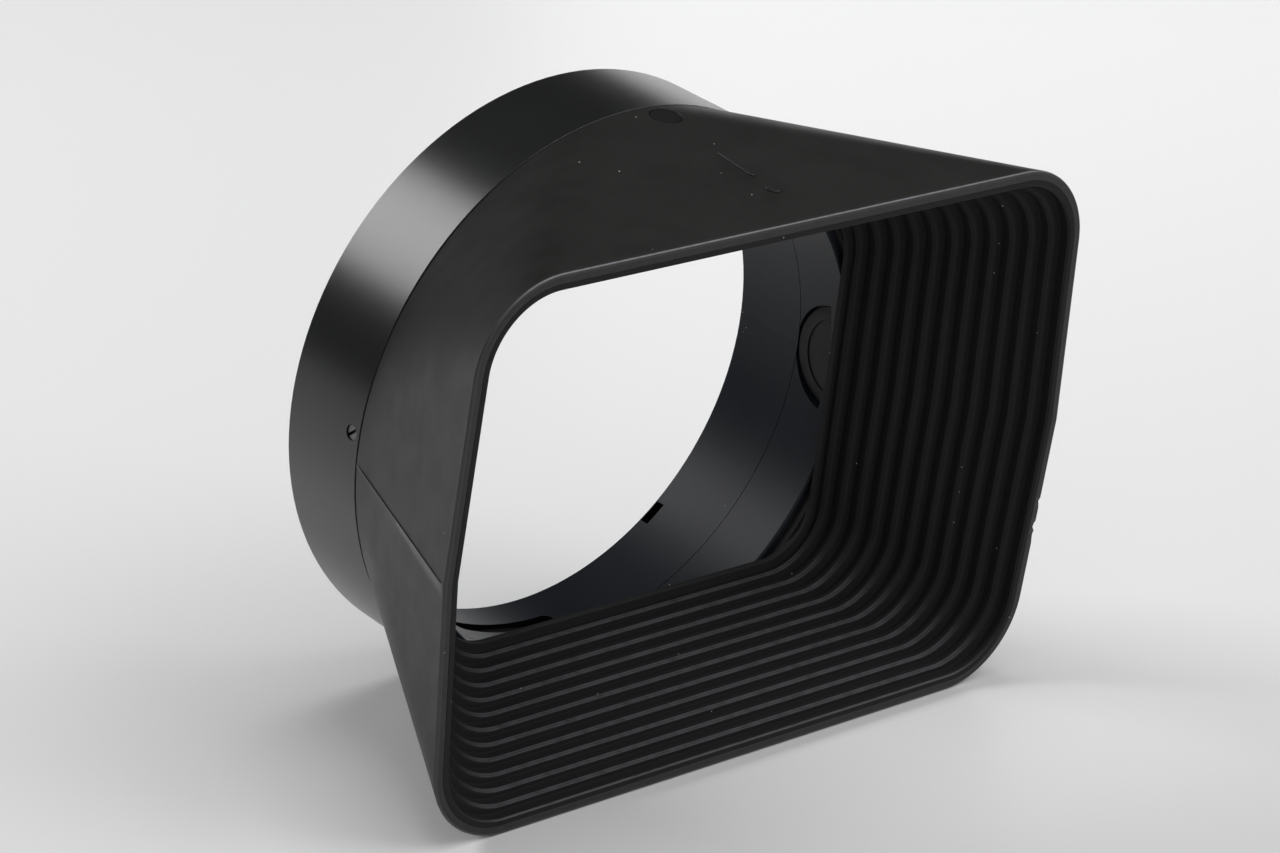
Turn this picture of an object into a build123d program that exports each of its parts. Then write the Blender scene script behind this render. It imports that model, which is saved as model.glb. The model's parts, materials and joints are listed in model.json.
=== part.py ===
from build123d import *
from math import atan, cos, degrees, radians, sin, tan
import os

os.makedirs("parts", exist_ok=True)

# Rectangular lens hood on a round clamp collar. Units are mm.
# Origin: centre of the rear opening. The mouth faces -Y and +Z is up.
# "forward" is a distance from the rear opening towards the mouth.
# Clock angles are measured about the optical axis from +X towards +Z.

# main sizes
collar_radius = 40.0
collar_length = 14.25
bore_radius = 35.6
shade_length = 31.6
rim_forward = collar_length + shade_length

# outer outline of the mouth: six sides, the two long sides peak at mid height
mouth_mid = 50.85
mouth_corner = 48.83
mouth_height = 36.84
mouth_fillet = 11.74
side_lean = atan((mouth_mid - mouth_corner) / mouth_height)

# shade shell
skin = 1.25
seam_land = 0.6
rim_bevel = 0.35
flange_front = collar_length + 2.0
spigot_radius = 38.2
spigot_bore = 37.0
spigot_back = 11.2
screw_groove_radius = 37.5
screw_groove_width = 1.6

# ribbed baffle
baffle_edge = 2.04
baffle_gap = 0.02
baffle_band_back = rim_forward - 1.95
rib_pitch = 2.0
rib_width = 0.6
groove_count = 12
groove_extra = 0.1
root_forward = 22.85
root_mid = 31.35
root_height = 25.8
root_fillet = 8.3
aperture_mid = 31.3
aperture_height = 25.0
aperture_fillet = 8.0
web_back = 21.95
funnel_back = root_forward + 2.0
funnel_mid = 35.9
funnel_height = 28.4
funnel_fillet = 9.5
funnel_root_mid = 34.3
funnel_root_height = 28.0
tube_radius = 37.6
tube_back = flange_front + baffle_gap

# throat sleeve and its snap tongues
sleeve_radius = 36.5
sleeve_back = 11.65
sleeve_front = 20.65
sleeve_flange_radius = 36.95
sleeve_flange_length = 1.0
tongue_centre = 18.95
tongue_radius = 7.6
tongue_chord = 17.7
tongue_edge_gap = 0.35
tongue_hinge_gap = 0.1
tongue_face = 35.75
tongue_thickness = 0.4
tongue_groove_inner = 5.0
tongue_groove_outer = 5.6
tongue_groove_depth = 0.15
tongue_angles = {"right": 0.7, "left": 180.7}

# mount ring inside the collar
mount_radius = 37.05
collar_bore = 37.1
washer_seat = 10.6
nose_radius = 36.4
mount_front = 11.55
slot_forward = 6.4
slot_width = 2.5
slot_length = 17.4
slot_angles = {"lower": -101, "upper": 79}
notch_angles = (-49.8, 130.2)
notch_width = 3.5
notch_depth = 1.35
notch_back = 0.15
relief_radius = 38.3
relief_width = 3.6

# grip springs behind the slots
spring_thickness = 0.25
spring_width = 2.0
spring_seat_radius = 37.15
spring_bow_radius = 36.1
spring_bow_angle = 13
spring_end_angle = 22
pin_angle = 18.5
pin_radius = 0.5
pin_inner = 36.6
pin_outer = 37.7

# friction washer between collar and shade
washer_inner = 36.7
washer_outer = 38.1
washer_back = 10.65
washer_front = 11.15
washer_split = 2.5

# slotted grub screws that lock the shade's turning
screw_radius = 0.95
screw_hole_radius = 1.0
screw_forward = 12.53
screw_top = 39.8
screw_shoulder = 38.2
screw_tip = 37.7
screw_tip_radius = 0.45
screw_slot_width = 0.4
screw_slot_depth = 0.6
screw_slot_angle = 40
screw_angles = (175.3, 55.3, -64.7)

# index plug and index mark on the top face
plug_x = 1.8
plug_forward = 16.9
plug_radius = 2.0
plug_gap = 0.1
plug_recess = 0.1
plug_depth = 0.6
mark_x = 1.6
mark_back = 27.2
mark_length = 7.0
mark_width = 1.1
mark_dot_radius = 1.1
mark_dot_forward = 37.6
mark_height = 0.2
top_slope = degrees(atan((collar_radius - mouth_height) / shade_length))

edge_chamfer = 0.25
overrun = 1.0


def polar(radius, angle):
    return (radius * cos(radians(angle)), radius * sin(radians(angle)))


def radial_plane(angle, forward, distance):
    """Plane facing outwards; its X runs to the mouth and its Y runs round the axis."""
    x, z = polar(distance, angle)
    return Plane(origin=(x, -forward, z), x_dir=(0, -1, 0), z_dir=(x, 0, z))


def six_sided(forward, mid, corner, height, corner_radius):
    """Outline across the axis: flat top and bottom, peaked sides, four round corners."""
    with BuildSketch(Plane.XZ.offset(forward)) as outline:
        with BuildLine():
            Polyline(
                (mid, 0), (corner, -height), (-corner, -height),
                (-mid, 0), (-corner, height), (corner, height), close=True,
            )
        make_face()
        fillet([v for v in outline.vertices() if abs(v.Y) > overrun], corner_radius)
    return outline.sketch


def shade_outline(forward, inset=0.0):
    """Outer outline of the shade at a station, round at the seam and six-sided at the rim."""
    share = (forward - collar_length) / shade_length
    round_mid = collar_radius / cos(side_lean)
    round_corner = round_mid - collar_radius * tan(side_lean)
    return six_sided(
        forward,
        round_mid + (mouth_mid - round_mid) * share - inset,
        round_corner + (mouth_corner - round_corner) * share - inset,
        collar_radius + (mouth_height - collar_radius) * share - inset,
        collar_radius + (mouth_fillet - collar_radius) * share - inset,
    )


def funnel_outline(forward, outset=0.0):
    """Outline through the rib crests of the baffle at a station."""
    share = (forward - root_forward) / (rim_forward - root_forward)
    mid = root_mid + (mouth_mid - baffle_edge - root_mid) * share
    return six_sided(
        forward,
        mid + outset,
        mid - (mouth_mid - mouth_corner) * share + outset,
        root_height + (mouth_height - baffle_edge - root_height) * share + outset,
        root_fillet + (mouth_fillet - baffle_edge - root_fillet) * share,
    )


# ---------------------------------------------------------------- shade shell
with BuildPart() as shade_shell:
    loft(
        sections=[
            shade_outline(collar_length + seam_land),
            shade_outline(rim_forward - rim_bevel),
        ],
        ruled=True,
    )
    loft(
        sections=[
            shade_outline(rim_forward - rim_bevel),
            shade_outline(rim_forward, rim_bevel),
        ],
        ruled=True,
    )
    loft(
        sections=[
            shade_outline(flange_front, skin),
            shade_outline(rim_forward, skin),
        ],
        ruled=True,
        mode=Mode.SUBTRACT,
    )
    with BuildSketch():
        with BuildLine():
            Polyline(
                (spigot_bore, -flange_front),
                (spigot_bore, -spigot_back),
                (spigot_radius, -spigot_back),
                (spigot_radius, -collar_length),
                (collar_radius - edge_chamfer, -collar_length),
                (collar_radius, -collar_length - edge_chamfer),
                (collar_radius, -collar_length - seam_land),
                (collar_radius - skin, -flange_front),
                close=True,
            )
        make_face()
    revolve(axis=Axis.Y)
    with BuildSketch():
        with Locations((0, -flange_front)):
            Rectangle(spigot_bore, shade_length, align=(Align.MIN, Align.MIN))
    revolve(axis=Axis.Y, mode=Mode.SUBTRACT)
    with BuildSketch():
        with Locations((screw_groove_radius, -screw_forward)):
            Rectangle(overrun, screw_groove_width, align=(Align.MIN, Align.CENTER))
    revolve(axis=Axis.Y, mode=Mode.SUBTRACT)
    # pocket for the index plug and the raised index mark on the top face
    plug_drop = (plug_forward - collar_length) * tan(radians(top_slope))
    plug_plane = Plane(
        origin=(plug_x, -plug_forward, collar_radius - plug_drop),
        x_dir=(1, 0, 0),
        z_dir=(0, -sin(radians(top_slope)), cos(radians(top_slope))),
    )
    with BuildSketch(plug_plane):
        Circle(plug_radius + plug_gap)
    extrude(amount=-plug_depth - plug_recess, mode=Mode.SUBTRACT)
    mark_drop = (mark_back - collar_length) * tan(radians(top_slope))
    mark_plane = Plane(
        origin=(mark_x, -mark_back, collar_radius - mark_drop),
        x_dir=(0, -1, 0),
        z_dir=(0, -sin(radians(top_slope)), cos(radians(top_slope))),
    )
    with BuildSketch(mark_plane):
        with Locations((mark_length / 2, 0)):
            SlotOverall(mark_length, mark_width)
        with Locations((mark_dot_forward - mark_back, 0)):
            Circle(mark_dot_radius)
    extrude(amount=mark_height)
shade_shell.part.label = "shade_shell"
export_step(shade_shell.part, "parts/shade_shell.step")

# -------------------------------------------------------------- ribbed baffle
with BuildPart() as ribbed_baffle:
    loft(
        sections=[
            shade_outline(baffle_band_back, skin + baffle_gap),
            shade_outline(rim_forward, skin + baffle_gap),
        ],
        ruled=True,
    )
    loft(
        sections=[
            six_sided(funnel_back, funnel_mid, funnel_mid, funnel_height, funnel_fillet),
            shade_outline(baffle_band_back, skin + baffle_gap),
        ],
        ruled=True,
    )
    loft(
        sections=[
            six_sided(web_back, funnel_root_mid, funnel_root_mid, funnel_root_height, funnel_fillet),
            six_sided(funnel_back, funnel_mid, funnel_mid, funnel_height, funnel_fillet),
        ],
        ruled=True,
    )
    with BuildSketch(Plane.XZ.offset(tube_back)):
        Circle(tube_radius)
    extrude(amount=funnel_back - tube_back)
    with BuildSketch(Plane.XZ.offset(tube_back)):
        Circle(sleeve_radius + baffle_gap)
    extrude(amount=web_back - tube_back, mode=Mode.SUBTRACT)
    loft(
        sections=[funnel_outline(root_forward), funnel_outline(rim_forward)],
        ruled=True,
        mode=Mode.SUBTRACT,
    )
    add(
        extrude(
            six_sided(web_back, aperture_mid, aperture_mid, aperture_height, aperture_fillet),
            amount=root_forward - web_back,
            mode=Mode.PRIVATE,
        ),
        mode=Mode.SUBTRACT,
    )
    for groove in range(groove_count):
        groove_front = rim_forward - groove * rib_pitch - rib_width / 2
        groove_length = min(rib_pitch - rib_width, groove_front - root_forward)
        add(
            extrude(
                funnel_outline(groove_front, groove_extra),
                amount=-groove_length,
                mode=Mode.PRIVATE,
            ),
            mode=Mode.SUBTRACT,
        )
    # clearance behind the two snap tongues
    for angle in tongue_angles.values():
        with BuildSketch(radial_plane(angle, tube_back, bore_radius - overrun)):
            Rectangle(2 * (tongue_chord + 2 * tongue_edge_gap - tube_back), 2 * tongue_radius + overrun)
        extrude(amount=2 * overrun + 2, mode=Mode.SUBTRACT)
ribbed_baffle.part.label = "ribbed_baffle"
export_step(ribbed_baffle.part, "parts/ribbed_baffle.step")

# -------------------------------------------------------------- throat sleeve
with BuildPart() as throat_sleeve:
    with BuildSketch():
        with BuildLine():
            Polyline(
                (bore_radius, -sleeve_back),
                (sleeve_flange_radius, -sleeve_back),
                (sleeve_flange_radius, -sleeve_back - sleeve_flange_length),
                (sleeve_radius, -sleeve_back - sleeve_flange_length),
                (sleeve_radius, -sleeve_front),
                (bore_radius + edge_chamfer, -sleeve_front),
                (bore_radius, -sleeve_front + edge_chamfer),
                close=True,
            )
        make_face()
    revolve(axis=Axis.Y)
    for angle in tongue_angles.values():
        with BuildSketch(radial_plane(angle, tongue_centre, bore_radius - overrun)):
            Circle(tongue_radius)
            with Locations((tongue_chord - tongue_centre, 0)):
                Rectangle(
                    2 * tongue_radius, 2 * tongue_radius,
                    align=(Align.MAX, Align.CENTER), mode=Mode.INTERSECT,
                )
        extrude(amount=3 * overrun, mode=Mode.SUBTRACT)
throat_sleeve.part.label = "throat_sleeve"
export_step(throat_sleeve.part, "parts/throat_sleeve.step")

# --------------------------------------------------------------- snap tongues
for side, angle in tongue_angles.items():
    with BuildPart() as snap_tongue:
        with BuildSketch(radial_plane(angle, tongue_centre, tongue_face)):
            Circle(tongue_radius - tongue_edge_gap)
            with Locations((tongue_chord - tongue_hinge_gap - tongue_centre, 0)):
                Rectangle(
                    2 * tongue_radius, 2 * tongue_radius,
                    align=(Align.MAX, Align.CENTER), mode=Mode.INTERSECT,
                )
        extrude(amount=tongue_thickness)
        with BuildSketch(radial_plane(angle, tongue_centre, tongue_face)):
            Circle(tongue_groove_outer)
            Circle(tongue_groove_inner, mode=Mode.SUBTRACT)
        extrude(amount=tongue_groove_depth, mode=Mode.SUBTRACT)
    snap_tongue.part.label = "snap_tongue_" + side
    export_step(snap_tongue.part, "parts/snap_tongue_" + side + ".step")

# ----------------------------------------------------------------- index plug
with BuildPart() as index_plug:
    with BuildSketch(plug_plane.offset(-plug_depth - plug_recess)):
        Circle(plug_radius)
    extrude(amount=plug_depth)
index_plug.part.label = "index_plug"
export_step(index_plug.part, "parts/index_plug.step")

# --------------------------------------------------------------------- collar
with BuildPart() as collar:
    with BuildSketch():
        with BuildLine():
            Polyline(
                (collar_bore, 0),
                (collar_radius - edge_chamfer, 0),
                (collar_radius, -edge_chamfer),
                (collar_radius, -collar_length + edge_chamfer),
                (collar_radius - edge_chamfer, -collar_length),
                (relief_radius, -collar_length),
                (relief_radius, -washer_seat),
                (collar_bore, -washer_seat),
                close=True,
            )
        make_face()
        with Locations((collar_bore, -slot_forward)):
            Rectangle(
                relief_radius - collar_bore, relief_width,
                align=(Align.MIN, Align.CENTER), mode=Mode.SUBTRACT,
            )
    revolve(axis=Axis.Y)
    for angle in screw_angles:
        with BuildSketch(radial_plane(angle, screw_forward, spigot_bore)):
            Circle(screw_hole_radius)
        extrude(amount=2 * collar_radius - 2 * spigot_bore, mode=Mode.SUBTRACT)
collar.part.label = "collar"
export_step(collar.part, "parts/collar.step")

# ----------------------------------------------------------------- mount ring
with BuildPart() as mount_ring:
    with BuildSketch():
        with BuildLine():
            Polyline(
                (bore_radius, 0),
                (mount_radius, 0),
                (mount_radius, -washer_seat),
                (nose_radius, -washer_seat),
                (nose_radius, -mount_front),
                (bore_radius, -mount_front),
                close=True,
            )
        make_face()
    revolve(axis=Axis.Y)
    for angle in slot_angles.values():
        with BuildSketch(radial_plane(angle, slot_forward, bore_radius - 2 * overrun)):
            SlotOverall(slot_length, slot_width, rotation=90)
        extrude(amount=4 * overrun, mode=Mode.SUBTRACT)
        for side in (-1, 1):
            with BuildSketch(radial_plane(angle + side * pin_angle, slot_forward, pin_inner)):
                Circle(pin_radius)
            extrude(amount=overrun, mode=Mode.SUBTRACT)
    for angle in notch_angles:
        notch_middle = notch_back + notch_depth / 2
        with BuildSketch(radial_plane(angle, notch_middle, bore_radius - overrun)):
            Rectangle(notch_depth, notch_width)
        extrude(amount=3 * overrun, mode=Mode.SUBTRACT)
mount_ring.part.label = "mount_ring"
export_step(mount_ring.part, "parts/mount_ring.step")

# ------------------------------------------------------------ friction washer
with BuildPart() as friction_washer:
    with BuildSketch(Plane.XZ.offset(washer_back)):
        Circle(washer_outer)
        Circle(washer_inner, mode=Mode.SUBTRACT)
        with Locations((0, -washer_outer)):
            Rectangle(washer_split, 2 * overrun + 2, mode=Mode.SUBTRACT)
    extrude(amount=washer_front - washer_back)
friction_washer.part.label = "friction_washer"
export_step(friction_washer.part, "parts/friction_washer.step")

# --------------------------------------------------------------- grip springs
spring_outer_seat = spring_seat_radius + spring_thickness
spring_outer_bow = spring_bow_radius + spring_thickness
half_end = (spring_end_angle + spring_bow_angle) / 2
for name, middle in slot_angles.items():
    with BuildPart() as grip_spring:
        with BuildSketch(Plane.XZ.offset(slot_forward - spring_width / 2)):
            with BuildLine():
                for seat, bow in (
                    (spring_seat_radius, spring_bow_radius),
                    (spring_outer_seat, spring_outer_bow),
                ):
                    ThreePointArc(
                        polar(seat, middle - spring_end_angle),
                        polar(seat, middle - half_end),
                        polar(seat, middle - spring_bow_angle),
                    )
                    ThreePointArc(
                        polar(seat, middle - spring_bow_angle),
                        polar(bow, middle),
                        polar(seat, middle + spring_bow_angle),
                    )
                    ThreePointArc(
                        polar(seat, middle + spring_bow_angle),
                        polar(seat, middle + half_end),
                        polar(seat, middle + spring_end_angle),
                    )
                for end in (middle - spring_end_angle, middle + spring_end_angle):
                    Line(polar(spring_seat_radius, end), polar(spring_outer_seat, end))
            make_face()
        extrude(amount=spring_width)
        for side in (-1, 1):
            with BuildSketch(radial_plane(middle + side * pin_angle, slot_forward, pin_inner)):
                Circle(pin_radius)
            extrude(amount=2 * overrun, mode=Mode.SUBTRACT)
    grip_spring.part.label = "grip_spring_" + name
    export_step(grip_spring.part, "parts/grip_spring_" + name + ".step")

with BuildPart() as grip_spring_pins:
    for middle in slot_angles.values():
        for side in (-1, 1):
            with BuildSketch(radial_plane(middle + side * pin_angle, slot_forward, pin_inner)):
                Circle(pin_radius)
            extrude(amount=pin_outer - pin_inner)
grip_spring_pins.part.label = "grip_spring_pins"
export_step(grip_spring_pins.part, "parts/grip_spring_pins.step")

# ---------------------------------------------------------------- grub screws
for number, angle in enumerate(screw_angles, start=1):
    with BuildPart() as grub_screw:
        with BuildSketch(radial_plane(angle, screw_forward, screw_shoulder)):
            Circle(screw_radius)
        extrude(amount=screw_top - screw_shoulder)
        with BuildSketch(radial_plane(angle, screw_forward, screw_tip)):
            Circle(screw_tip_radius)
        extrude(amount=screw_shoulder - screw_tip)
        with BuildSketch(radial_plane(angle, screw_forward, screw_top)):
            Rectangle(2 * screw_hole_radius, screw_slot_width, rotation=screw_slot_angle)
        extrude(amount=-screw_slot_depth, mode=Mode.SUBTRACT)
    grub_screw.part.label = "grub_screw_" + str(number)
    export_step(grub_screw.part, "parts/grub_screw_" + str(number) + ".step")
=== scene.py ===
import json
from math import atan2, cos, hypot, pi, radians, sin, tan

import bmesh
import bpy
from mathutils import Matrix, Vector


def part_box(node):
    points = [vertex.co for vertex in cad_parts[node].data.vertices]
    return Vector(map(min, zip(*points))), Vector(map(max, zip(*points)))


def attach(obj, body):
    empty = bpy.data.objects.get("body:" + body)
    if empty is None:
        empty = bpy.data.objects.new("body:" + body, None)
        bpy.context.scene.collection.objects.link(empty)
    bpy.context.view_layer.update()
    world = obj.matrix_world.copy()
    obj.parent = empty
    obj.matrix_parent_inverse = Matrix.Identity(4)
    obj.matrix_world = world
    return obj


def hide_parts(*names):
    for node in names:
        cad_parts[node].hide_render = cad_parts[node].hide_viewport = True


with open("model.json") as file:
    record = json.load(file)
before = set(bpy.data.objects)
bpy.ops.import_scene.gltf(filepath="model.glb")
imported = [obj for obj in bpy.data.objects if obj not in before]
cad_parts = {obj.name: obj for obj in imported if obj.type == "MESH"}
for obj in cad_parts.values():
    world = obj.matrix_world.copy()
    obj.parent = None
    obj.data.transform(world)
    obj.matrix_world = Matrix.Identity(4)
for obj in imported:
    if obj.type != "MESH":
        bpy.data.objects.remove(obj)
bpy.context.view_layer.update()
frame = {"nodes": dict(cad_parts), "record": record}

# The looks of a rectangular lens hood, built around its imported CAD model.
# Shapes are worked out in millimetres and turned into metres where points are made.
# "forward" is a distance from the rear opening towards the mouth, which faces -Y.

MM = 0.001


def extent(node, corner, axis):
    """One coordinate of a CAD node's box, in millimetres."""
    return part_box(node)[corner][axis] / MM


# ---------------------------------------------------------------- sizes, in millimetres
collar_radius = extent("collar", 1, 0)
collar_length = -extent("collar", 0, 1)
rim_forward = -extent("shade_shell", 0, 1)
spigot_back = -extent("shade_shell", 1, 1)
bore_radius = frame["record"]["mounts"][0]["dims"]["r_mm"]
shade_length = rim_forward - collar_length

mouth_mid = 50.85
mouth_corner = 48.83
mouth_height = 36.84
mouth_fillet = 11.74
side_lean = atan2(mouth_mid - mouth_corner, mouth_height)

skin = 1.25
rim_round = 0.35
face_start = 0.12
skin_edge = 0.03
seam_chamfer = 0.15
seam_soft = 0.3 * seam_chamfer
spigot_radius = 38.2
spigot_bore = 37.0
flange_front = collar_length + 2.0
screw_groove = {"radius": 37.5, "back": 11.73, "front": 13.33}
part_line_height = 0.17
part_line_end = 0.6
part_line_low = -0.1
# the plug's pocket: height over the plug's middle, and radius
pocket_levels = ((-0.5, 2.1), (0.27, 2.1), (0.33, 2.13), (0.40, 2.24), (0.46, 2.4))

lining_gap = 0.02
lining_edge = 2.04
lining_band_back = rim_forward - 1.95
rib_pitch = 2.0
rib_width = 0.6
groove_count = 12
groove_depth = 0.1
root_forward = 22.85
root_mid = 31.35
root_height = 25.8
root_fillet = 8.3
aperture = {"mid": 31.3, "corner": 31.3, "height": 25.0, "fillet": 8.0}
aperture_back = 21.95
funnel_root = {"mid": 34.3, "corner": 34.3, "height": 28.0, "fillet": 9.5}
lining_back = {"mid": 35.9, "corner": 35.9, "height": 28.4, "fillet": 9.5}
lining_back_forward = 24.85
tube_radius = 37.6
tube_bore = 36.52
tube_back = flange_front + lining_gap
pocket_radius = 37.4
pocket_half = 8.1
pocket_front = 18.4

mark_x = 1.6
mark_height = 0.2
mark_sink = 0.15
mark_edge = 0.08
# the index marks on the top face: name, distance forward, half length and half width
MARKS = (("index_bar", 30.7, 3.5, 0.55), ("index_dot", 37.6, 1.1, 1.099))

top_slope = atan2(collar_radius - mouth_height, shade_length)


# ---------------------------------------------------------------- outlines
# shares of a side's straight line: close together at the parting line and at the nicks
SIDE_STEPS = [0.0, 0.004, 0.008, 0.1, 0.2, 0.3, 0.4, 0.43, 0.445, 0.46, 0.475, 0.5]
SIDE_STEPS += [0.55, 0.575, 0.59, 0.605, 0.62, 0.635, 0.65, 0.7, 0.85]
ARC_STEPS = 36
TOP_STEPS = 14
# the parting line: a point counted down from mid height, and its share of the ridge
PART_LINE = ((0, -0.5), (1, 0.8), (2, 0.7))


def ring(forward, mid, corner, height, fillet, ridge=0.0):
    """Points round a six-sided outline with four round corners, in metres.

    The two sides peak at mid height, where ridge marks the mould's parting line:
    a shallow groove with a proud edge below it.
    """
    lean = atan2(mid - corner, height)
    centre_z = height - fillet
    centre_x = mid - (fillet + centre_z * sin(lean)) / cos(lean)
    start = Vector((mid, 0.0))
    end = Vector((centre_x + fillet * cos(lean), centre_z + fillet * sin(lean)))
    quarter = [start.lerp(end, share) for share in SIDE_STEPS]
    for step in range(ARC_STEPS + 1):
        angle = lean + (pi / 2 - lean) * step / ARC_STEPS
        quarter.append(Vector((centre_x + fillet * cos(angle), centre_z + fillet * sin(angle))))
    for step in range(1, TOP_STEPS + 1):
        quarter.append(Vector((centre_x * (1 - step / TOP_STEPS), height)))
    there = quarter[:-1]
    back = quarter[:0:-1]
    points = there + [Vector((-p.x, p.y)) for p in back]
    points += [Vector((-p.x, -p.y)) for p in there] + [Vector((p.x, -p.y)) for p in back]
    half = len(points) // 2
    for step, share in PART_LINE:
        points[-step].x += ridge * share
        points[half + step].x -= ridge * share
    return [Vector((p.x, -forward, p.y)) * MM for p in points]


def moved(points, forward):
    """The same outline at another distance from the rear opening."""
    return [Vector((point.x, -forward * MM, point.z)) for point in points]


def outside(points, radius):
    """The outline together with a circle, whichever lies further out."""
    grown = []
    for point in points:
        share = max(1.0, radius * MM / hypot(point.x, point.z))
        grown.append(Vector((point.x * share, point.y, point.z * share)))
    return grown


def circle_ring(forward, radius):
    """The same count of points round a circle, lined up with the seam's outline."""
    mid = radius / cos(side_lean)
    return ring(forward, mid, mid - radius * tan(side_lean), radius, radius)


def shade_ring(forward, inset=0.0, ridge=0.0):
    """Outer outline of the shade: a circle at the seam, six-sided at the rim."""
    share = (forward - collar_length) / shade_length
    round_mid = collar_radius / cos(side_lean)
    round_corner = round_mid - collar_radius * tan(side_lean)
    return ring(
        forward,
        round_mid + (mouth_mid - round_mid) * share - inset,
        round_corner + (mouth_corner - round_corner) * share - inset,
        collar_radius + (mouth_height - collar_radius) * share - inset,
        collar_radius + (mouth_fillet - collar_radius) * share - inset,
        ridge,
    )


def rib_ring(shape, forward, outset=0.0):
    """Outline through the rib crests at station shape, placed at another station."""
    share = (shape - root_forward) / (rim_forward - root_forward)
    mid = root_mid + (mouth_mid - lining_edge - root_mid) * share
    return ring(
        forward,
        mid + outset,
        mid - (mouth_mid - mouth_corner) * share + outset,
        root_height + (mouth_height - lining_edge - root_height) * share + outset,
        root_fillet + (mouth_fillet - lining_edge - root_fillet) * share,
    )


# ---------------------------------------------------------------- mesh building
SHARP_ANGLE = radians(17)
WELD = 1e-7
# wear and highlight of a ring: 1 is rubbed, and from 1 to 2 surfaces that face up get a painted
# highlight
FLANK_WEAR = 0.25
FACE_WEAR = 0.35
RUBBED = 1.0
# painted highlight level of the proud edge below the parting line
PART_LINE_HIGHLIGHT = 1.4
TOP_HIGHLIGHT = 2.0


def add_object(name, data):
    """A new object in the scene."""
    obj = bpy.data.objects.new(name, data)
    bpy.context.scene.collection.objects.link(obj)
    return obj


def mesh_from(name, bm):
    """A mesh with all that bm holds; bm is freed."""
    mesh = bpy.data.meshes.new(name)
    bm.to_mesh(mesh)
    bm.free()
    return mesh


def bridge(bm, row, following):
    """Faces between two rows with the same count of vertices."""
    for i in range(len(row)):
        j = (i + 1) % len(row)
        bm.faces.new((row[i], row[j], following[j], following[i]))


def stack(bm, rows):
    """A closed solid with a cap on its first and its last row."""
    for row, following in zip(rows, rows[1:]):
        bridge(bm, row, following)
    bm.faces.new(rows[-1])
    bm.faces.new(rows[0][::-1])


def solid_from_rings(name, rings):
    """A closed solid whose section runs through the rings, which are points with their wear and
    painted highlight level.
    """
    bm = bmesh.new()
    layer = bm.verts.layers.float.new("wear_and_highlight")
    rows = []
    for points, wear_and_highlight in rings:
        row = [bm.verts.new(point) for point in points]
        for vertex in row:
            vertex[layer] = wear_and_highlight
        rows.append(row)
    for row, following in zip(rows, rows[1:] + rows[:1]):
        bridge(bm, row, following)
    bmesh.ops.remove_doubles(bm, verts=bm.verts, dist=WELD)
    bmesh.ops.dissolve_degenerate(bm, edges=bm.edges, dist=WELD)
    bmesh.ops.recalc_face_normals(bm, faces=bm.faces)
    return finish_mesh(name, bm)


def finish_mesh(name, bm):
    """Smooth shading between faces that meet at a small angle, and an object in the scene."""
    for face in bm.faces:
        face.smooth = True
    for edge in bm.edges:
        edge.smooth = len(edge.link_faces) == 2 and edge.calc_face_angle(0.0) < SHARP_ANGLE
    return add_object(name, mesh_from(name, bm))


def place(obj, body, slot, material, *nodes):
    """Puts a finished piece on its body with its finish, and hides the CAD nodes it stands for."""
    obj.data.materials.append(material)
    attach(obj, body)
    if nodes:
        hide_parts(*nodes)


# ---------------------------------------------------------------- the shade's outer shell
SHELL_STEPS = 14
INSIDE_STEPS = 4
RIM_TURNS = 6


def shade_shell(material):
    """The moulded outer shell: flank, rounded rim, inner wall and turned spigot."""
    first = collar_length + seam_chamfer
    last = rim_forward - rim_round
    line_end = last - part_line_end
    rings = [
        (shade_ring(collar_length, seam_chamfer), 0.0),
        (shade_ring(collar_length + seam_soft, seam_soft), 0.0),
        (shade_ring(first), 0.0),
    ]
    for step in range(1, SHELL_STEPS + 1):
        forward = first + (line_end - first) * step / SHELL_STEPS
        rings.append((shade_ring(forward, 0.0, part_line_height), 0.0))
    rings.append((shade_ring(last), FLANK_WEAR))
    for turn in range(1, RIM_TURNS + 1):
        angle = pi / 2 * turn / RIM_TURNS
        edge = shade_ring(last, rim_round * (1 - cos(angle)))
        wear_and_highlight = TOP_HIGHLIGHT if 1 < turn < RIM_TURNS else RUBBED
        rings.append((moved(edge, last + rim_round * sin(angle)), wear_and_highlight))
    rings.append((shade_ring(rim_forward, rim_round + face_start), FACE_WEAR))
    rings.append((shade_ring(rim_forward, skin - skin_edge), FACE_WEAR))
    rings.append((shade_ring(rim_forward - skin_edge, skin), 0.0))
    for step in range(1, INSIDE_STEPS + 1):
        forward = rim_forward + (flange_front - rim_forward) * step / INSIDE_STEPS
        rings.append((shade_ring(forward, skin), 0.0))
    groove = screw_groove
    profile = (
        (flange_front, spigot_bore),
        (spigot_back, spigot_bore),
        (spigot_back, spigot_radius),
        (groove["back"], spigot_radius),
        (groove["back"], groove["radius"]),
        (groove["front"], groove["radius"]),
        (groove["front"], spigot_radius),
        (collar_length, spigot_radius),
    )
    for forward, radius in profile:
        rings.append((circle_ring(forward, radius), 0.0))
    obj = solid_from_rings("shade_body_shell", rings)
    nick_rim(obj)
    highlight_parting_line(obj)
    sink_plug_pocket(obj)
    place(obj, "shade_body", "shade_plastic", material, "shade_shell")


def highlight_parting_line(obj):
    """Gives the proud edge below the parting line a painted highlight: a lighter, smoother band that
    looks lit.
    """
    band = SIDE_STEPS[2] * mouth_height * 1.1
    slope = (mouth_mid - collar_radius) / shade_length
    for vertex, value in zip(obj.data.vertices, obj.data.attributes["wear_and_highlight"].data):
        x, y, z = vertex.co / MM
        surface = collar_radius + slope * (-y - collar_length)
        if abs(z) < band and abs(x) > surface - skin / 2 and -y < rim_forward - part_line_end:
            value.value = PART_LINE_HIGHLIGHT if z < part_line_low else 0.0


POCKET_POINTS = 96


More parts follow.
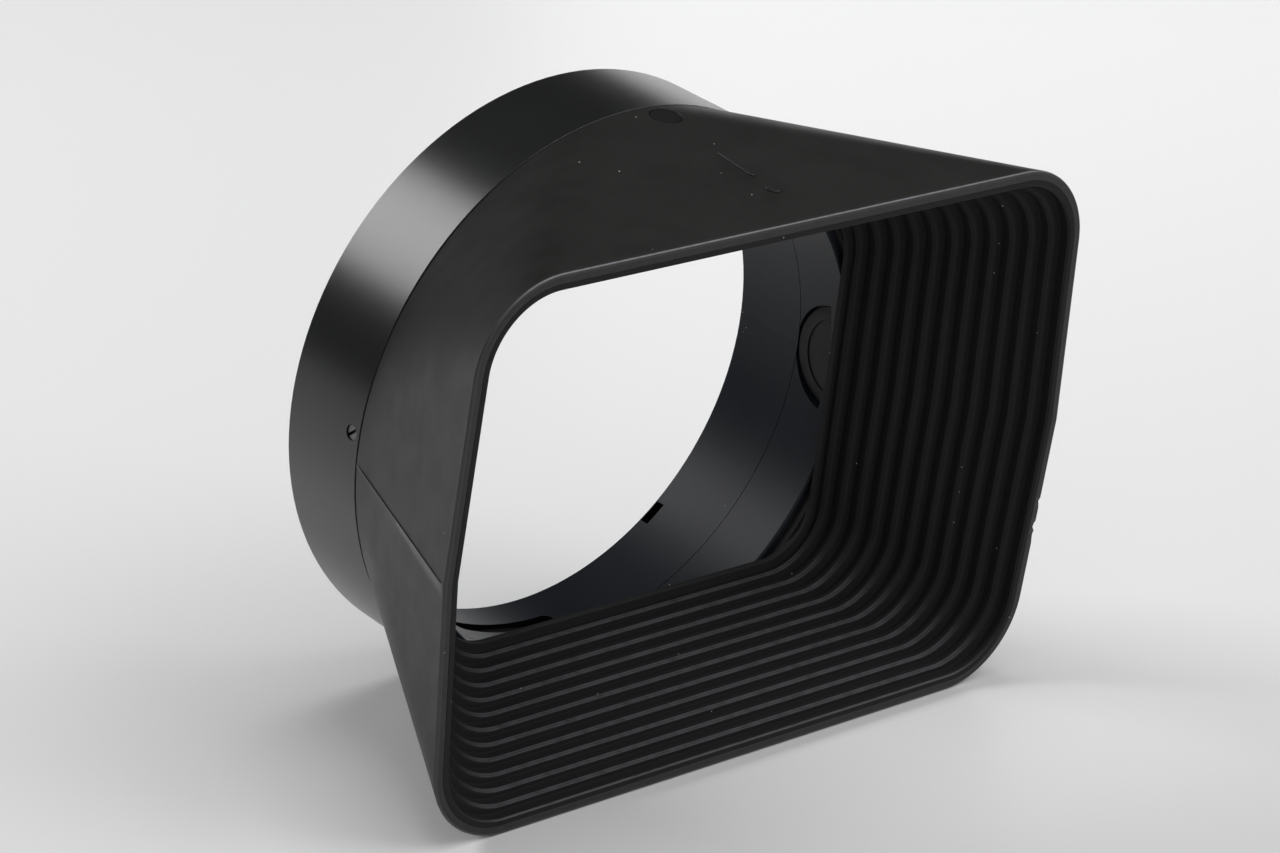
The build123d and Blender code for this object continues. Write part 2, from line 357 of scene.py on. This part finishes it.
def sink_plug_pocket(obj):
    """Cuts the round pocket with a softened edge that the index plug sits in."""
    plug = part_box("index_plug")
    middle = (plug[0] + plug[1]) / 2
    bm = bmesh.new()
    rows = []
    for height, radius in pocket_levels:
        row = []
        for step in range(POCKET_POINTS):
            angle = 2 * pi * step / POCKET_POINTS
            point = Vector((radius * cos(angle), radius * sin(angle), height))
            row.append(bm.verts.new(point * MM))
        rows.append(row)
    stack(bm, rows)
    bmesh.ops.rotate(bm, verts=bm.verts, matrix=Matrix.Rotation(top_slope, 3, "X"))
    bmesh.ops.translate(bm, verts=bm.verts, vec=middle)
    cutter = add_object("pocket_cutter", mesh_from("pocket_cutter", bm))
    cut = obj.modifiers.new("pocket", "BOOLEAN")
    cut.operation = "DIFFERENCE"
    cut.solver = "EXACT"
    cut.object = cutter
    graph = bpy.context.evaluated_depsgraph_get()
    obj.data = bpy.data.meshes.new_from_object(obj.evaluated_get(graph), depsgraph=graph)
    obj.modifiers.clear()
    bpy.data.objects.remove(cutter)


# how far behind the rim a nick can reach
NICK_BAND = 1.2
# nicks in the rim's outer edge: x, z, reach and depth
NICKS = (
    (50.1, -11.8, 0.5, 0.22),
    (49.9, -15.4, 0.6, 0.25),
    (49.8, -16.7, 0.4, 0.15),
    (12.4, -36.8, 0.6, 0.12),
)


def nick_rim(obj):
    """Small dents where the rim's edge has been knocked."""
    for vertex in obj.data.vertices:
        if rim_forward * MM + vertex.co.y >= NICK_BAND * MM:
            continue
        for x, z, reach, depth in NICKS:
            distance = hypot(vertex.co.x / MM - x, vertex.co.z / MM - z)
            if distance < reach:
                push = depth * MM * (1 - (distance / reach) ** 2)
                vertex.co.x -= push
                vertex.co.y += push


# ---------------------------------------------------------------- the ribbed lining
# the rounded edge at the rim: depth, outset from the rib crests, wear and painted highlight
LINING_EDGE = ((0.0, 0.12, FACE_WEAR), (0.01, 0.08, TOP_HIGHLIGHT), (0.06, 0.01, TOP_HIGHLIGHT), (0.12, 0.0, RUBBED))
# Rings at a groove's front and back wall: how far forward of the wall the crests' outline
# is taken, how far forward of the wall the ring stands, outset from the outline, wear and painted
# sheen.
GROOVE_FRONT = (
    (0.07, 0.07, 0.0, RUBBED),
    (0.02, 0.02, 0.02, 0.8),
    (0.0, 0.0, 0.06, 0.3),
    (0.0, -0.04, groove_depth, 0.0),
)
GROOVE_BACK = (
    (0.0, 0.0, 0.10, 0.1),
    (0.0, -0.02, 0.03, 0.8),
    (-0.08, -0.08, 0.0, RUBBED),
    (-0.26, -0.26, 0.0, 0.55),
)
# the groove's floor: how far forward of the back wall, and outset
GROOVE_FLOOR = ((0.16, groove_depth), (0.05, groove_depth - 0.04), (0.0, groove_depth - 0.16))
# the aperture's front edge: depth, outset, wear and painted sheen
APERTURE_EDGE = ((0.0, 0.1, 0.1), (0.03, 0.03, 0.4), (0.10, 0.0, 0.1))


def ribbed_lining(material):
    """The baffle: ribbed funnel, square aperture, and the tube that holds the sleeve."""
    outer = skin + lining_gap
    rings = [
        (shade_ring(rim_forward - skin_edge, outer), 0.0),
        (shade_ring(rim_forward, outer + skin_edge), FACE_WEAR),
    ]
    for depth, outset, wear_and_highlight in LINING_EDGE:
        rings.append((rib_ring(rim_forward, rim_forward - depth, outset), wear_and_highlight))
    for groove in range(groove_count):
        front = rim_forward - groove * rib_pitch - rib_width / 2
        back = max(front - (rib_pitch - rib_width), root_forward)
        for shape, stand, outset, wear_and_highlight in GROOVE_FRONT:
            rings.append((rib_ring(front + shape, front + stand, outset), wear_and_highlight))
        for stand, outset in GROOVE_FLOOR:
            rings.append((rib_ring(front, back + stand, outset), 0.0))
        if back > root_forward:
            for shape, stand, outset, wear_and_highlight in GROOVE_BACK:
                rings.append((rib_ring(back + shape, back + stand, outset), wear_and_highlight))
    mid, corner, height, fillet = aperture.values()
    for depth, outset, wear_and_highlight in APERTURE_EDGE:
        edge = ring(root_forward - depth, mid + outset, corner + outset, height + outset, fillet)
        rings.append((edge, wear_and_highlight))
    opening = ring(aperture_back, mid, corner, height, fillet)
    back_side = (
        opening,
        outside(opening, tube_bore),
        circle_ring(aperture_back, tube_bore),
        circle_ring(pocket_front, tube_bore),
        pocket_ring(pocket_front),
        pocket_ring(tube_back),
        circle_ring(tube_back, tube_radius),
        circle_ring(aperture_back, tube_radius),
        outside(ring(aperture_back, *funnel_root.values()), tube_radius),
        outside(ring(lining_back_forward, *lining_back.values()), tube_radius),
        ring(lining_back_forward, *lining_back.values()),
        shade_ring(lining_band_back, outer),
    )
    rings += [(points, 0.0) for points in back_side]
    obj = solid_from_rings("ribbed_lining", rings)
    place(obj, "shade_body", "baffle_plastic", material, "ribbed_baffle")


def pocket_ring(forward):
    """The tube's bore, wider behind the two snap tongues."""
    points = circle_ring(forward, tube_bore)
    for point in points:
        if abs(point.z) < pocket_half * MM:
            widen = pocket_radius / tube_bore
            point.x *= widen
            point.z *= widen
    return points


# ---------------------------------------------------------------- index mark on the top face
MARK_STEPS = 16


def raised_mark(name, forward, half_length, half_width, material):
    """A low pad with round ends and soft edges, standing on the sloping top face."""
    top = collar_radius - (forward - collar_length) * tan(top_slope)
    outline = []
    for end in (1, -1):
        for step in range(MARK_STEPS + 1):
            angle = -pi / 2 + pi * step / MARK_STEPS
            along = end * (half_length - half_width + half_width * cos(angle))
            outline.append(Vector((end * half_width * sin(angle), along)))
    levels = ((-mark_sink, 0.0), (mark_height - mark_edge, 0.0), (mark_height, mark_edge))
    bm = bmesh.new()
    bm.verts.layers.float.new("wear_and_highlight")
    rows = []
    for height, inset in levels:
        shrink_x = 1 - inset / half_width
        shrink_y = 1 - inset / half_length
        row = []
        for point in outline:
            along = point.y * shrink_y
            across = mark_x + point.x * shrink_x
            level = top + height - along * tan(top_slope)
            row.append(bm.verts.new(Vector((across, -forward - along, level)) * MM))
        rows.append(row)
    stack(bm, rows)
    bmesh.ops.remove_doubles(bm, verts=bm.verts, dist=WELD)
    bmesh.ops.recalc_face_normals(bm, faces=bm.faces)
    place(finish_mesh(name, bm), "shade_body", "shade_plastic", material)


# ---------------------------------------------------------------- materials
# depth in millimetres behind which a point belongs to the rear face
REAR_FACE = 0.05
# the cosine of 45 degrees, rounded
DIAGONAL = 0.7


class Finish:
    """A procedural material that is built up node by node, in the object's own coordinates."""

    def __init__(self, name, roughness, metallic=0.0, specular=0.5):
        self.material = bpy.data.materials.new(name)
        self.material.use_nodes = True
        self.nodes = self.material.node_tree.nodes
        self.links = self.material.node_tree.links
        self.shader = self.nodes["Principled BSDF"]
        self.shader.inputs["Roughness"].default_value = roughness
        self.shader.inputs["Metallic"].default_value = metallic
        self.shader.inputs["Specular IOR Level"].default_value = specular
        self.coordinates = self.nodes.new("ShaderNodeTexCoord").outputs["Object"]

    def fill(self, socket, value):
        """Links a socket to another one, or sets it to a value."""
        if isinstance(value, bpy.types.NodeSocket):
            self.links.new(value, socket)
        else:
            socket.default_value = value

    def node(self, kind, inputs):
        """A new node with its inputs linked or set."""
        node = self.nodes.new(kind)
        for name, value in inputs.items():
            self.fill(node.inputs[name], value)
        return node

    def stretched(self, scale):
        node = self.node("ShaderNodeMapping", {"Vector": self.coordinates, "Scale": scale})
        return node.outputs["Vector"]

    def split(self, vector):
        """The X, Y and Z of a vector."""
        return self.node("ShaderNodeSeparateXYZ", {"Vector": vector}).outputs

    def noise(self, scale, detail=3.0, vector=None):
        inputs = {"Vector": vector or self.coordinates, "Scale": scale, "Detail": detail}
        return self.node("ShaderNodeTexNoise", inputs).outputs["Fac"]

    def math(self, operation, first, second):
        node = self.node("ShaderNodeMath", {0: first, 1: second})
        node.operation = operation
        node.use_clamp = operation == "MULTIPLY"
        return node.outputs["Value"]

    def span(self, value, low, high, out_low=0.0, out_high=1.0):
        """The value's place between low and high, as a value between out_low and out_high."""
        inputs = {
            "Value": value,
            "From Min": low,
            "From Max": high,
            "To Min": out_low,
            "To Max": out_high,
        }
        return self.node("ShaderNodeMapRange", inputs).outputs["Result"]

    def mix(self, share, first, second, data_type="RGBA"):
        node = self.nodes.new("ShaderNodeMix")
        node.data_type = data_type
        self.fill(node.inputs["Factor"], share)
        self.fill(node.inputs["A"], first)
        self.fill(node.inputs["B"], second)
        return node.outputs["Result"]

    def radius(self):
        """Distance from the optical axis, in metres."""
        node = self.nodes.new("ShaderNodeVectorMath")
        node.operation = "LENGTH"
        self.links.new(self.stretched((1.0, 0.0, 1.0)), node.inputs[0])
        return node.outputs["Value"]

    def inside_rear_end(self):
        """One for all but the face that closes the rear end of the hood."""
        return self.math("LESS_THAN", self.split(self.coordinates)["Y"], -REAR_FACE * MM)

    def attribute(self, name):
        node = self.nodes.new("ShaderNodeAttribute")
        node.attribute_name = name
        return node.outputs["Fac"]

    def facing_up(self):
        """One on the surfaces that face up, falling to nothing on upright walls."""
        normal = self.nodes.new("ShaderNodeTexCoord").outputs["Normal"]
        return self.span(self.split(normal)["Z"], 0.5, 0.92)

    def away(self, near, far):
        """Nothing close in front of the hood, one far behind it to the right, in metres."""
        spot = self.split(self.coordinates)
        diagonal = self.math("ADD", spot["X"], spot["Y"])
        return self.span(diagonal, -near / DIAGONAL, far / DIAGONAL)

    def specks(self, scale, size, share):
        """Small round specks: one in a few cells of a Voronoi pattern."""
        cells = self.node("ShaderNodeTexVoronoi", {"Vector": self.coordinates, "Scale": scale})
        near = self.math("LESS_THAN", cells.outputs["Distance"], size)
        colour = self.node("ShaderNodeSeparateColor", {"Color": cells.outputs["Color"]})
        chosen = self.math("LESS_THAN", colour.outputs["Red"], share)
        return self.math("MULTIPLY", near, chosen)

    def bump(self, height, strength, distance):
        inputs = {"Height": height, "Strength": strength, "Distance": distance}
        self.fill(self.shader.inputs["Normal"], self.node("ShaderNodeBump", inputs).outputs["Normal"])

    def dull(self, where, base, rough, specular, dulled):
        """Base, roughness and specular level with other values where a mask is one."""
        colour, roughness, level = dulled
        if colour:
            base = self.mix(where, base, colour)
        rough = self.mix(where, rough, roughness, "FLOAT")
        level = self.mix(where, specular, level, "FLOAT")
        self.fill(self.shader.inputs["Specular IOR Level"], level)
        return base, rough

    def paint(self, colour, roughness=None):
        self.fill(self.shader.inputs["Base Color"], colour)
        if roughness is not None:
            self.fill(self.shader.inputs["Roughness"], roughness)


def grey(level, warm=0.0):
    """A grey of this level, a little warmer than neutral where warm is over zero."""
    return (level * (1 + warm), level, level * (1 - warm), 1.0)


def shade_plastic():
    """Moulded plastic with a fine grain, worn along the rim, with a little dust, and a painted
    highlight on the rim's edge where it faces up and on the proud edge below the parting line.
    """
    dark, light = grey(0.0070, 0.06), grey(0.0095, 0.06)
    # rubbed rim colour, also painted as a highlight on the proud edge below the parting line
    rubbed_and_highlight = grey(0.035, 0.02)
    # painted highlight: the light grey of the rim's rounded edge where it faces up
    edge_highlight = (0.20, 0.20, 0.22, 1.0)
    dust = grey(0.35)
    finish = Finish("moulded_plastic", 0.5, 0.0, 0.3)
    wear_and_highlight = finish.attribute("wear_and_highlight")
    cloud = finish.span(finish.noise(90.0), 0.35, 0.65)
    base = finish.mix(cloud, dark, light)
    patchy = finish.span(finish.noise(900.0, 4.0), 0.2, 0.6, 0.45, 1.0)
    base = finish.mix(finish.math("MULTIPLY", wear_and_highlight, patchy), base, rubbed_and_highlight)
    top_highlight_mask = finish.math("MULTIPLY", finish.span(wear_and_highlight, RUBBED, TOP_HIGHLIGHT), finish.facing_up())
    base = finish.mix(finish.math("MULTIPLY", top_highlight_mask, patchy), base, edge_highlight)
    base = finish.mix(finish.specks(420.0, 0.045, 0.16), base, dust)
    satin = finish.span(finish.noise(260.0), 0.3, 0.7, 0.44, 0.50)
    polish = finish.span(wear_and_highlight, 0.4, 1.0, 0.0, 0.12)
    finish.paint(base, finish.math("SUBTRACT", satin, polish))
    finish.bump(finish.noise(5200.0, 2.0), 0.22, 0.00004)
    return finish.material


def lining_plastic():
    """Flat black grooves between rib crests that are polished by handling, with a painted sheen that
    lightens crests facing up.
    """
    groove, crest = grey(0.011), grey(0.010)
    # painted sheen: the light grey of crests that face up
    crest_sheen = (0.066, 0.066, 0.073, 1.0)
    # painted highlight: the light grey of the rim's inner edge where it faces up
    edge_highlight = grey(0.16)
    dust = grey(0.3)
    finish = Finish("ribbed_plastic", 0.6, 0.0, 0.15)
    wear_and_highlight = finish.attribute("wear_and_highlight")
    streak = finish.span(finish.noise(500.0, 4.0), 0.3, 0.6, 0.55, 1.0)
    crest_wear_and_sheen = finish.math("MULTIPLY", wear_and_highlight, streak)
    crest_sheen_mask = finish.math("MULTIPLY", crest_wear_and_sheen, finish.facing_up())
    base = finish.mix(crest_wear_and_sheen, groove, crest)
    base = finish.mix(crest_sheen_mask, base, crest_sheen)
    top_highlight_mask = finish.math("MULTIPLY", finish.span(wear_and_highlight, RUBBED, TOP_HIGHLIGHT), finish.facing_up())
    base = finish.mix(top_highlight_mask, base, edge_highlight)
    base = finish.mix(finish.specks(520.0, 0.05, 0.2), base, dust)
    finish.paint(base, finish.span(crest_wear_and_sheen, 0.0, 1.0, 0.75, 0.45))
    finish.bump(finish.noise(4200.0, 2.0), 0.25, 0.00004)
    return finish.material


# dull parts of anodised metal: colour, roughness and specular level; the walls' near black colour is
# painted shade
SHADED_WALL = (grey(0.003), 0.8, 0.02)
DULL_EDGE = (None, 0.6, 0.12)


def anodised(name, low, high, roughness, dust, specular=0.5, shaded_wall_radius=None, edge_radius=None):
    """Turned and anodised metal: a very fine grain that runs round the axis.

    Walls that lie outside the shaded wall radius get painted shade, a near black rough colour; edges
    inside edge_radius are dull.
    """
    finish = Finish(name, roughness, 0.0, specular)
    cloud = finish.span(finish.noise(70.0, 4.0), 0.35, 0.65)
    base = finish.mix(cloud, low, high)
    base = finish.mix(finish.specks(480.0, 0.04, dust), base, grey(0.3))
    turned = finish.noise(1.0, 3.0, finish.stretched((160.0, 6000.0, 160.0)))
    rough = finish.span(turned, 0.3, 0.7, roughness - 0.003, roughness + 0.003)
    if shaded_wall_radius:
        shaded_wall = finish.math("GREATER_THAN", finish.radius(), shaded_wall_radius * MM)
        shaded_wall = finish.math("MULTIPLY", shaded_wall, finish.inside_rear_end())
        base, rough = finish.dull(shaded_wall, base, rough, specular, SHADED_WALL)
    if edge_radius:
        edge = finish.math("LESS_THAN", finish.radius(), edge_radius * MM)
        base, rough = finish.dull(edge, base, rough, specular, DULL_EDGE)
    finish.paint(base, rough)
    finish.bump(finish.noise(6000.0, 2.0), 0.16, 0.00002)
    return finish.material


def plain_grain(name, colour, roughness, metallic=0.0, specular=0.5):
    """A small part's finish: slight mottling and a fine grain."""
    finish = Finish(name, roughness, metallic, specular)
    cloud = finish.span(finish.noise(600.0, 4.0), 0.3, 0.7)
    darker = tuple(channel * 0.7 for channel in colour[:3]) + (1.0,)
    rough = finish.span(cloud, 0.0, 1.0, roughness, roughness + 0.08)
    finish.paint(finish.mix(cloud, darker, colour), rough)
    finish.bump(finish.noise(6000.0, 2.0), 0.12, 0.00003)
    return finish.material


def dress_nodes():
    """Gives each CAD node that stays in view its own material."""
    cool = ((0.0072, 0.0075, 0.0080, 1.0), (0.0090, 0.0095, 0.0100, 1.0))
    blue = ((0.009, 0.0105, 0.014, 1.0), (0.012, 0.014, 0.018, 1.0))
    edge_radius = collar_radius - 0.03
    shaded_wall_radius = bore_radius + 0.05
    collar_metal = anodised("collar_anodising", *cool, 0.27, 0.06, edge_radius=edge_radius)
    sleeve_metal = anodised("sleeve_anodising", *blue, 0.40, 0.15, 0.13)
    # the mount ring gets painted shade on its walls outside the bore, in its notches and slots
    ring_metal = anodised("ring_anodising", *blue, 0.40, 0.15, 0.13, shaded_wall_radius)
    spring = plain_grain("blackened_spring", grey(0.007), 0.6, 0.0, 0.1)
    tongue = plain_grain("tongue_plastic", grey(0.010), 0.5, 0.0, 0.2)
    finishes = {
        "collar": collar_metal,
        "mount_ring": ring_metal,
        "throat_sleeve": sleeve_metal,
        "friction_washer": plain_grain("spring_steel", grey(0.42), 0.3, 1.0),
        "grip_spring_lower": spring,
        "grip_spring_upper": spring,
        "grip_spring_pins": plain_grain("turned_brass", (0.55, 0.43, 0.20, 1.0), 0.3, 1.0),
        "index_plug": plain_grain("plug_plastic", grey(0.007), 0.5, 0.0, 0.15),
        "snap_tongue_right": tongue,
        "snap_tongue_left": tongue,
    }
    screw = plain_grain("screw_steel", grey(0.16), 0.34, 0.9)
    for node, obj in frame["nodes"].items():
        obj.data.materials.clear()
        obj.data.materials.append(finishes.get(node, screw))


# ---------------------------------------------------------------- studio
# the camera's place in metres, its view direction and its upward direction
CAMERA_PLACE = (-0.32519, -0.36969, 0.21516)
CAMERA_FORWARD = (0.6212, 0.6662, -0.4126)
CAMERA_UP = (0.1921, 0.3810, 0.9044)
FOCAL_LENGTH = 115.8
SENSOR_WIDTH = 36.0
# soft lights: name, azimuth and elevation in degrees, distance and size in metres, power
SOFTBOXES = (
    ("softbox_back_left", -32, 32, 0.9, 0.40, 4.2),
    ("softbox_overhead", 20, 82, 1.3, 0.7, 6.2),
    ("softbox_front_right", 132, 48, 2.4, 2.0, 35.0),
    ("softbox_front_left", -150, 36, 2.4, 3.0, 20.0),
    ("panel_back_right", 48, 2, 1.2, 0.4, 0.6),
)
WORLD_COLOUR = (0.98, 0.99, 1.0, 1.0)
WORLD_STRENGTH = 0.04
TABLE_RADIUS = 2.5
TABLE_POINTS = 96


def camera():
    """The view from the front left and above, with a long lens."""
    data = bpy.data.cameras.new("camera")
    data.sensor_width = SENSOR_WIDTH
    data.lens = FOCAL_LENGTH
    data.clip_start = 0.01
    obj = add_object("camera", data)
    forward = Vector(CAMERA_FORWARD).normalized()
    right = forward.cross(Vector(CAMERA_UP)).normalized()
    up = right.cross(forward)
    rotation = Matrix((right, up, -forward)).transposed()
    obj.matrix_world = Matrix.Translation(CAMERA_PLACE) @ rotation.to_4x4()
    bpy.context.scene.camera = obj


def softbox(name, azimuth, elevation, distance, size, power):
    """A square soft light that faces the hood. Azimuth 0 is behind it and 90 to its right."""
    data = bpy.data.lights.new(name, "AREA")
    data.size = size
    data.energy = power
    obj = add_object(name, data)
    a = radians(azimuth)
    e = radians(elevation)
    direction = Vector((sin(a) * cos(e), cos(a) * cos(e), sin(e)))
    obj.location = Vector((0, -rim_forward / 2, 0)) * MM + direction * distance
    obj.rotation_euler = direction.to_track_quat("Z", "Y").to_euler()


def table():
    """A white table that touches the collar's seam and the rim, as the hood lies front down."""
    bm = bmesh.new()
    bmesh.ops.create_circle(bm, cap_ends=True, segments=TABLE_POINTS, radius=TABLE_RADIUS)
    obj = add_object("table", mesh_from("table", bm))
    obj.rotation_euler = (-top_slope, 0, 0)
    obj.location = (0, -collar_length * MM, -collar_radius * MM)
    finish = Finish("white_table", 0.35)
    # painted light falloff: the table is darker close in front of the hood and lighter far behind it
    # to the right
    finish.paint(finish.mix(finish.away(0.15, 0.35), grey(0.70), grey(0.87)))
    obj.data.materials.append(finish.material)


def studio():
    """A dim even world, and the softboxes."""
    world = bpy.data.worlds.new("studio")
    bpy.context.scene.world = world
    world.use_nodes = True
    background = world.node_tree.nodes["Background"]
    background.inputs["Color"].default_value = WORLD_COLOUR
    background.inputs["Strength"].default_value = WORLD_STRENGTH
    bpy.context.scene.view_settings.view_transform = "Standard"
    for row in SOFTBOXES:
        softbox(*row)


camera()
table()
studio()
dress_nodes()
plastic = shade_plastic()
shade_shell(plastic)
ribbed_lining(lining_plastic())
for mark in MARKS:
    raised_mark(*mark, plastic)
